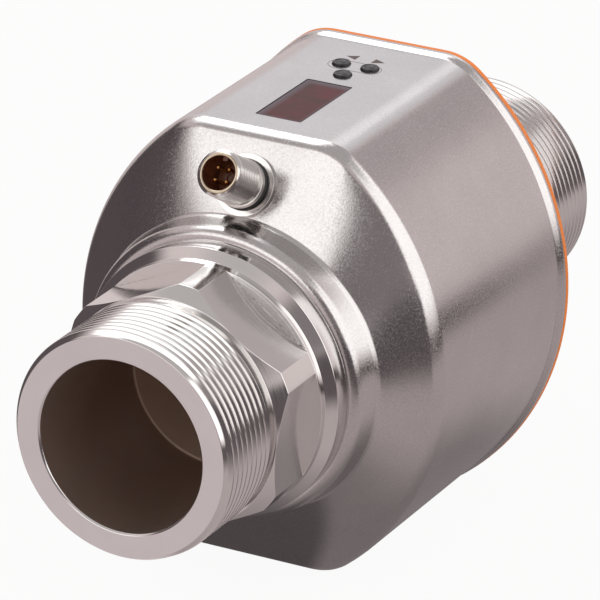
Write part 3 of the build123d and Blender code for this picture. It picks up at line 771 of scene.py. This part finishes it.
def panePiece(p):
    # the pane that fills the opening, on a wider flange that stays under the panel
    width, length, y = panel["windowWidth"], panel["windowLength"], panel["windowY"]
    piece = slotTool("windowPane", width - p["play"], length - p["play"], y,
                     p["low"], p["top"], panel["windowR"])
    easeEdges(piece, p["edge"], 2, 50)
    flange = slotTool("windowFlange", width + p["flangeOut"], length + p["flangeOut"], y,
                      p["flangeLow"], p["flangeTop"], p["flangeR"])
    withTool(piece, flange, "UNION")
    return piece


windowPane = panePiece(pane)
smoothOver(windowPane)
dress(windowPane, windowTint)
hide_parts("display_window")

keyLook = {"footR": 3.0, "footLow": 54.7, "footTop": 55.8, "edgeZ": 58.6, "rimZ": 58.9, "rimR": 2.05,
           "rimHalf": 0.12, "grooveR": 1.55, "grooveZ": 58.72, "domeR": 1.25, "domeZ": 58.8, "domeSteps": 5,
           "topZ": 59.0, "edge": 0.1}


def keyPiece(k):
    # a round key with a rim, a groove and a low dome
    r = panel["keyR"]
    profile = [
        (0, k["footLow"]), (k["footR"], k["footLow"]), (k["footR"], k["footTop"]), (r, k["footTop"]),
        (r, k["edgeZ"]), (k["rimR"] + k["rimHalf"], k["rimZ"]), (k["rimR"] - k["rimHalf"], k["rimZ"]),
        (k["grooveR"], k["grooveZ"]),
    ]
    for step in range(k["domeSteps"] + 1):
        turn = radians(90 * step / k["domeSteps"])
        profile.append((k["domeR"] * cos(turn), k["domeZ"] + (k["topZ"] - k["domeZ"]) * sin(turn)))
    piece = turned("keyModel", profile, roundSteps)
    easeEdges(piece, k["edge"], 2, 20)
    return piece


keyModel = keyPiece(keyLook)
for name, (x, y) in panel["keys"].items():
    key = twin(keyModel, name.replace("_key", "Key"))
    settle(key, Matrix.Translation((x * mm, y * mm, 0)))
    smoothOver(key, 40)
    dress(key, plain["keyRubber"], body=name)
    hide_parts(name)
bpy.data.objects.remove(keyModel)

marks = {"outlineR": 3.1, "outlineY": 20.2, "outlineHalf": 4.25, "line": 0.14, "proud": 0.02,
         "arrowY": 26.2, "arrowInner": 2.3, "arrowTip": 5.4, "arrowHalf": 1.5}


def keyOutline(m):
    # an obround line: a circle pulled apart, inset and opened
    allOff()
    bpy.ops.mesh.primitive_circle_add(vertices=roundSteps, radius=m["outlineR"] * mm, fill_type="NGON")
    piece = bpy.context.object
    piece.name = "keyOutline"
    for side in (-1, 1):
        openForEdit(piece)
        mesh = bmesh.from_edit_mesh(piece.data)
        for vert in mesh.verts:
            vert.select = vert.co.x * side > apart * mm
        mesh.select_flush_mode()
        bmesh.update_edit_mesh(piece.data)
        bpy.ops.transform.translate(value=(side * m["outlineHalf"] * mm, 0, 0))
        closeEdit()
    openForEdit(piece)
    bpy.ops.mesh.select_all(action="SELECT")
    bpy.ops.mesh.inset(thickness=m["line"] * mm)
    bpy.ops.mesh.delete(type="FACE")
    bpy.ops.mesh.select_all(action="SELECT")
    bpy.ops.mesh.extrude_region_move(TRANSFORM_OT_translate={"value": (0, 0, 2 * m["proud"] * mm)})
    bpy.ops.mesh.select_all(action="SELECT")
    bpy.ops.transform.translate(value=(0, m["outlineY"] * mm, (panel["topZ"] - m["proud"]) * mm))
    outward()
    closeEdit()
    return piece


def arrowMark(name, side, m):
    # a flat triangle pointing along the panel
    allOff()
    bpy.ops.mesh.primitive_circle_add(vertices=3, radius=mm, fill_type="NGON")
    piece = bpy.context.object
    piece.name = name
    openForEdit(piece)
    mesh = bmesh.from_edit_mesh(piece.data)
    tip, low, high = sorted(mesh.verts, key=lambda vert: -vert.co.y)
    tip.co = Vector((side * m["arrowTip"] * mm, m["arrowY"] * mm, 0))
    low.co = Vector((side * m["arrowInner"] * mm, (m["arrowY"] - m["arrowHalf"]) * mm, 0))
    high.co = Vector((side * m["arrowInner"] * mm, (m["arrowY"] + m["arrowHalf"]) * mm, 0))
    bmesh.update_edit_mesh(piece.data)
    bpy.ops.mesh.select_all(action="SELECT")
    bpy.ops.transform.translate(value=(0, 0, (panel["topZ"] - m["proud"]) * mm))
    bpy.ops.mesh.extrude_region_move(TRANSFORM_OT_translate={"value": (0, 0, 2 * m["proud"] * mm)})
    outward()
    closeEdit()
    return piece


for mark in (keyOutline(marks), arrowMark("leftArrow", -1, marks), arrowMark("rightArrow", 1, marks)):
    dress(mark, plain["markBrown"])
print("panel made")


# plug connector

plugThread = {"pitch": 1.0, "major": 5.96, "minor": 5.42, "crestFlat": 0.16, "rootFlat": 0.14,
              "crestRound": 0.05, "past": 0.4, "start": 4.75, "turns": 13, "steps": 48}


def sleevePiece(p):
    # tail, flange, waist, shoulder, thread, and a rolled edge from the thread's end to the cavity
    profile = [
        (p["cavityR"], p["tailEnd"]), (p["tailR"], p["tailEnd"]), (p["tailR"], 0), (p["flangeR"], 0),
        (p["flangeR"], p["flangeEnd"]), (p["waistR"], p["flangeEnd"]), (p["waistR"], p["waistEnd"]),
        (p["shoulderR"], p["waistEnd"]), (p["shoulderR"], p["shoulderEnd"]), (p["runoutR"], p["shoulderEnd"]),
        (p["runoutR"], p["runoutEnd"]), (p["threadR"], p["threadStart"]),
        (p["threadR"], p["reach"] - p["chamfer"]),
    ]
    outer, rimRear = p["threadR"] - p["chamfer"], p["reach"] - p["rimDepth"]
    middle, half = (outer + p["cavityR"]) / 2, (outer - p["cavityR"]) / 2
    for degrees in range(p["rimFirst"], p["rimLast"] + 1, p["rimStep"]):
        turn = radians(degrees)
        profile.append((middle + half * cos(turn), p["reach"] - p["rimDepth"] * (1 - sin(turn))))
    piece = turned("plugSleeve", profile + [(p["cavityR"], rimRear)], roundSteps)
    easeEdges(piece, p["edge"], 2, 35)
    withTool(piece, threadTool("plugThreadTool", plugThread))
    settle(piece, plugPlace)
    return piece


def markSleeve(piece, p):
    # the cavity's wall and the rolled edge get finishes of their own; faces across the axis keep theirs
    piece.data.materials.append(plain["cavityCopper"])
    piece.data.materials.append(plain["rimBrass"])
    axis, acrossPlug = plugPlace.to_3x3() @ Vector((0, 0, 1)), 0.5
    for face in piece.data.polygons:
        away = face.center - plugPlace.translation
        along = away.dot(axis)
        radius = (away - axis * along).length
        if radius < (p["cavityR"] + 2 * apart) * mm and abs(face.normal.dot(axis)) < acrossPlug:
            face.material_index = 1
        elif along > (p["reach"] - p["rimDepth"]) * mm and radius < (p["threadR"] - p["chamfer"]) * mm:
            face.material_index = 2


sleeve = sleevePiece(plug)
smoothOver(sleeve)
dress(sleeve, plugSteel)
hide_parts("connector_body")
markSleeve(sleeve, plug)

insert = {
    "r": 4.25, "floor": 7.6, "stepR": 3.7, "topOuterR": 3.55, "topZ": 8.3, "topInnerR": 1.5, "dishR": 1.3,
    "dishZ": 7.9, "edge": 0.1, "noseWidth": 1.2, "noseLength": 1.0, "noseY": 3.9, "noseLow": 7.0,
    "noseHigh": 14.6, "noseR": 0.2,
}


def corePiece(c, tailEnd):
    # the insulating core, dished on top, with a key nose along the cavity's wall
    piece = turned("plugCore", [
        (0, tailEnd), (c["r"], tailEnd), (c["r"], c["floor"]), (c["stepR"], c["floor"]),
        (c["topOuterR"], c["topZ"]), (c["topInnerR"], c["topZ"]), (c["dishR"], c["dishZ"]), (0, c["dishZ"]),
    ], roundSteps)
    easeEdges(piece, c["edge"], 2, 35)
    nose = slotTool("plugNose", c["noseWidth"], c["noseLength"], c["noseY"],
                    c["noseLow"], c["noseHigh"], c["noseR"])
    withTool(piece, nose, "UNION")
    return piece


core = corePiece(insert, plug["tailEnd"])
settle(core, plugPlace)
smoothOver(core)
dress(core, plain["coreBrown"])
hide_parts("connector_insert")

contact = {"r": 0.5, "low": -12.0, "high": 14.6, "ease": 0.12, "tipSteps": 5, "circleR": 2.2, "count": 4}


def contactPins(c):
    # one pin with a round tip, copied round the circle and joined
    profile = [(0, c["low"]), (c["r"] - c["ease"], c["low"]), (c["r"], c["low"] + c["ease"])]
    for step in range(c["tipSteps"] + 1):
        turn = radians(90) * step / c["tipSteps"]
        profile.append((c["r"] * cos(turn), c["high"] - c["r"] + c["r"] * sin(turn)))
    first = turned("contactPins", profile, 24)
    openForEdit(first)
    bpy.ops.mesh.select_all(action="SELECT")
    beside = c["circleR"] * cos(radians(45)) * mm
    bpy.ops.transform.translate(value=(beside, beside, 0))
    closeEdit()
    pins = [first]
    for number in range(1, c["count"]):
        pin = twin(first, "contactPin")
        settle(pin, Matrix.Rotation(2 * pi * number / c["count"], 4, "Z"))
        pins.append(pin)
    allOff()
    for pin in pins:
        pin.select_set(True)
    bpy.context.view_layer.objects.active = first
    bpy.ops.object.join()
    return first


pins = contactPins(contact)
settle(pins, plugPlace)
smoothOver(pins, 40)
dress(pins, plain["contactGold"])
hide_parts("contact_pins")
print("plug made")


# finishes of the solids that keep their shape

carriedFinishes = {
    "measuring_tube": plain["linerPlastic"], "inlet_tube_seal": plain["blackRubber"],
    "outlet_tube_seal": plain["blackRubber"], "left_electrode": plain["groundSteel"],
    "right_electrode": plain["groundSteel"], "electrode_nuts": plain["zincSteel"],
    "temperature_probe": plain["groundSteel"], "upper_pole_piece": plain["softIron"],
    "lower_pole_piece": plain["softIron"], "upper_bobbin": plain["bobbinPlastic"],
    "lower_bobbin": plain["bobbinPlastic"], "upper_coil": coilWire, "lower_coil": coilWire,
    "flux_yoke": plain["softIron"], "tie_rods": plain["zincSteel"], "inlet_neck_seal": plain["blackRubber"],
    "outlet_neck_seal": plain["blackRubber"], "inlet_clamp_ring": plain["zincSteel"],
    "outlet_clamp_ring": plain["zincSteel"], "window_gasket": plain["blackRubber"],
    "display_module": plain["displayBlack"], "keypad_mat": plain["blackRubber"],
    "key_switches": plain["switchPlastic"], "display_board": plain["laminate"],
    "board_carrier": plain["carrierPlastic"], "main_board": plain["laminate"],
    "board_screws": plain["zincSteel"], "connector_seal": plain["blackRubber"],
    "connector_nut": plain["zincSteel"],
}
for name, finish in carriedFinishes.items():
    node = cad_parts[name]
    node.data.materials.clear()
    node.data.materials.append(finish)
print("carried solids dressed")


# floor, light and camera

stageLook = {
    "floorZ": -59.4, "floorSize": 6.0, "floor": (0.62, 0.60, 0.59), "floorDrift": 0.98, "floorRough": 0.9,
    "whiteShare": 0.94, "mirrorShare": 0.92, "skyMirror": 0.04, "walls": (0.75, 0.655, 0.645),
}
white = (1, 1, 1)
# what stands round the table, and a painted shadow of the object on the table, seen from the object: the
# middle's azimuth, half the width, the lower and upper height and the soft edge in degrees, and the tone;
# later ones stand in front
cardFields = ("azimuth", "half", "low", "high", "soft", "tone")
cards = {
    "ceiling": (0, 180, 46, 120, 5, (0.52, 0.49, 0.49)),
    "table": (0, 180, -120, -6, 3, (0.50, 0.43, 0.43)),
    # painted shadow: the table right under the object is darker
    "shadowUnder": (0, 180, -120, -36, 9, (0.25, 0.215, 0.22)),
    "tableFront": (-112, 26, -45, -7, 6, (0.66, 0.57, 0.58)),
    # painted shadow: darker still under the object's front
    "shadowUnderFront": (-118, 55, -78, -44, 5, (0.10, 0.085, 0.088)),
    "darkLeft": (-171, 31, -33, 29, 5, (0.07, 0.05, 0.056)),
    "rightBox": (7, 39, 0, 50, 4, (1.65, 1.62, 1.61)),
    "tableEdge": (14, 38, -10, -4, 2, (0.03, 0.02, 0.018)),
    "darkFront": (-48, 27, -14, 9, 4, (0.08, 0.062, 0.066)),
    "camera": (-57, 19, 8, 37, 6, (0.22, 0.19, 0.195)),
    "frontLeftBox": (-105, 30, 16, 39, 2, (1.65, 1.63, 1.61)),
    "backWall": (112, 30, 14, 46, 6, (0.90, 0.89, 0.92)),
    "wallGap": (69, 8, 20, 38, 4, (0.50, 0.435, 0.445)),
    "brightWall": (100, 8, 31, 52, 3, (1.38, 1.35, 1.37)),
    "overhead": (150, 46, 47, 76, 5, (1.6, 1.6, 1.6)),
}


def band(tree, source, low, high):
    # 0 below low, 1 above high, eased between
    node = addNode(tree, "ShaderNodeMapRange", interpolation_type="SMOOTHSTEP")
    node.inputs["From Min"].default_value = low
    node.inputs["From Max"].default_value = high
    tree.links.new(source, node.inputs["Value"])
    return node.outputs["Result"]


def studioTone(tree, direction, s):
    # the tone that lies in each direction from the object: the walls, with the cards before them and the
    # painted shadow under the object
    split = addNode(tree, "ShaderNodeSeparateXYZ")
    tree.links.new(direction, split.inputs["Vector"])
    flat = addNode(tree, "ShaderNodeCombineXYZ")
    tree.links.new(split.outputs["X"], flat.inputs["X"])
    tree.links.new(split.outputs["Y"], flat.inputs["Y"])
    level = addNode(tree, "ShaderNodeVectorMath", operation="NORMALIZE")
    tree.links.new(flat.outputs["Vector"], level.inputs[0])
    colour = s["walls"]
    for values in cards.values():
        card = dict(zip(cardFields, values))
        low, high, soft = card["low"], card["high"], card["soft"]
        share = None
        if low > -90:
            share = band(tree, split.outputs["Z"], sin(radians(low - soft)), sin(radians(low + soft)))
        if high < 90:
            below = band(tree, split.outputs["Z"], sin(radians(high + soft)), sin(radians(high - soft)))
            share = below if share is None else times(tree, share, below)
        if card["half"] < 180:
            facing = addNode(tree, "ShaderNodeVectorMath", operation="DOT_PRODUCT")
            tree.links.new(level.outputs["Vector"], facing.inputs[0])
            facing.inputs[1].default_value = (cos(radians(card["azimuth"])), sin(radians(card["azimuth"])), 0)
            wide = band(tree, facing.outputs["Value"], cos(radians(card["half"] + soft)),
                        cos(radians(card["half"] - soft)))
            share = times(tree, share, wide)
        colour = mixTone(tree, share, colour, card["tone"])
    return colour


def rayShare(tree, direct, mirrored):
    # how much of the backdrop a ray gets: straight from the camera, or by way of metal and glass
    path = addNode(tree, "ShaderNodeLightPath")
    seen = addNode(tree, "ShaderNodeMath", operation="MULTIPLY")
    tree.links.new(path.outputs["Is Camera Ray"], seen.inputs[0])
    seen.inputs[1].default_value = direct
    bounced = addNode(tree, "ShaderNodeMath", operation="MAXIMUM")
    tree.links.new(path.outputs["Is Glossy Ray"], bounced.inputs[0])
    tree.links.new(path.outputs["Is Transmission Ray"], bounced.inputs[1])
    both = addNode(tree, "ShaderNodeMath", operation="MULTIPLY_ADD")
    tree.links.new(bounced.outputs["Value"], both.inputs[0])
    both.inputs[1].default_value = mirrored
    tree.links.new(seen.outputs["Value"], both.inputs[2])
    return both.outputs["Value"], path.outputs["Is Camera Ray"]


def floorPiece(s):
    # white to the camera; metal and glass see the studio's tones in it instead, with a painted shadow under
    # the object
    allOff()
    bpy.ops.mesh.primitive_plane_add(size=s["floorSize"], location=(0, 0, s["floorZ"] * mm))
    floor = bpy.context.object
    floor.name = "floor"
    finish, tree, shader = newFinish("floorPaper")
    place = objectPlace(tree)
    stops = [(noiseLow, tone(s["floor"], s["floorDrift"])), (noiseHigh, s["floor"])]
    tree.links.new(ramp(tree, grain(tree, place, 3.0), stops), shader.inputs["Base Color"])
    shader.inputs["Roughness"].default_value = s["floorRough"]
    drop = addNode(tree, "ShaderNodeMapping")
    drop.inputs["Location"].default_value = (0, 0, s["floorZ"] * mm)
    tree.links.new(place, drop.inputs["Vector"])
    fromMiddle = addNode(tree, "ShaderNodeVectorMath", operation="NORMALIZE")
    tree.links.new(drop.outputs["Vector"], fromMiddle.inputs[0])
    share, direct = rayShare(tree, s["whiteShare"], s["mirrorShare"])
    glow = addNode(tree, "ShaderNodeEmission")
    around = studioTone(tree, fromMiddle.outputs["Vector"], s)
    tree.links.new(mixTone(tree, direct, around, white), glow.inputs["Color"])
    mix = addNode(tree, "ShaderNodeMixShader")
    tree.links.new(share, mix.inputs["Fac"])
    tree.links.new(shader.outputs["BSDF"], mix.inputs[1])
    tree.links.new(glow.outputs["Emission"], mix.inputs[2])
    tree.links.new(mix.outputs["Shader"], tree.nodes["Material Output"].inputs["Surface"])
    floor.data.materials.append(finish)


def skyLight(s):
    world = bpy.data.worlds.new("studio")
    bpy.context.scene.world = world
    world.use_nodes = True
    tree = world.node_tree
    tree.nodes.clear()
    share = rayShare(tree, 1.0, s["skyMirror"])[0]
    back = addNode(tree, "ShaderNodeBackground")
    around = studioTone(tree, objectPlace(tree), s)
    tree.links.new(mixTone(tree, share, around, white), back.inputs["Color"])
    out = addNode(tree, "ShaderNodeOutputWorld")
    tree.links.new(back.outputs["Background"], out.inputs["Surface"])


def softbox(name, look):
    # a square area lamp that faces the object's middle
    lamp = bpy.data.lights.new(name, "AREA")
    lamp.size = look["size"]
    lamp.energy = look["watts"]
    box = bpy.data.objects.new(name, lamp)
    azimuth, height = radians(look["azimuth"]), radians(look["height"])
    toward = Vector((cos(azimuth) * cos(height), sin(azimuth) * cos(height), sin(height)))
    box.location = toward * look["away"]
    box.rotation_euler = (-toward).to_track_quat("-Z", "Y").to_euler()
    box.visible_camera = False
    bpy.context.scene.collection.objects.link(box)


floorPiece(stageLook)
skyLight(stageLook)
softbox("topBox", {"azimuth": 150, "height": 60, "away": 1.3, "size": 0.6, "watts": 2.4})

view = {
    "location": (0.64295, -1.23111, 0.58972), "aim": (-0.00359, -0.00108, 0.00142), "roll": 0.715,
    "focal": 356.96, "sensor": 36.0, "near": 0.05, "far": 30,
}
camera = bpy.data.cameras.new("camera")
camera.lens = view["focal"]
camera.sensor_width = view["sensor"]
camera.clip_start, camera.clip_end = view["near"], view["far"]
cameraObject = bpy.data.objects.new("camera", camera)
cameraObject.location = view["location"]
sight = (Vector(view["aim"]) - Vector(view["location"])).to_track_quat("-Z", "Y").to_matrix().to_4x4()
cameraObject.rotation_euler = (sight @ Matrix.Rotation(radians(view["roll"]), 4, "Z")).to_euler()
bpy.context.scene.collection.objects.link(cameraObject)
bpy.context.scene.camera = cameraObject
bpy.context.scene.view_settings.view_transform = "Standard"
print("stage set")
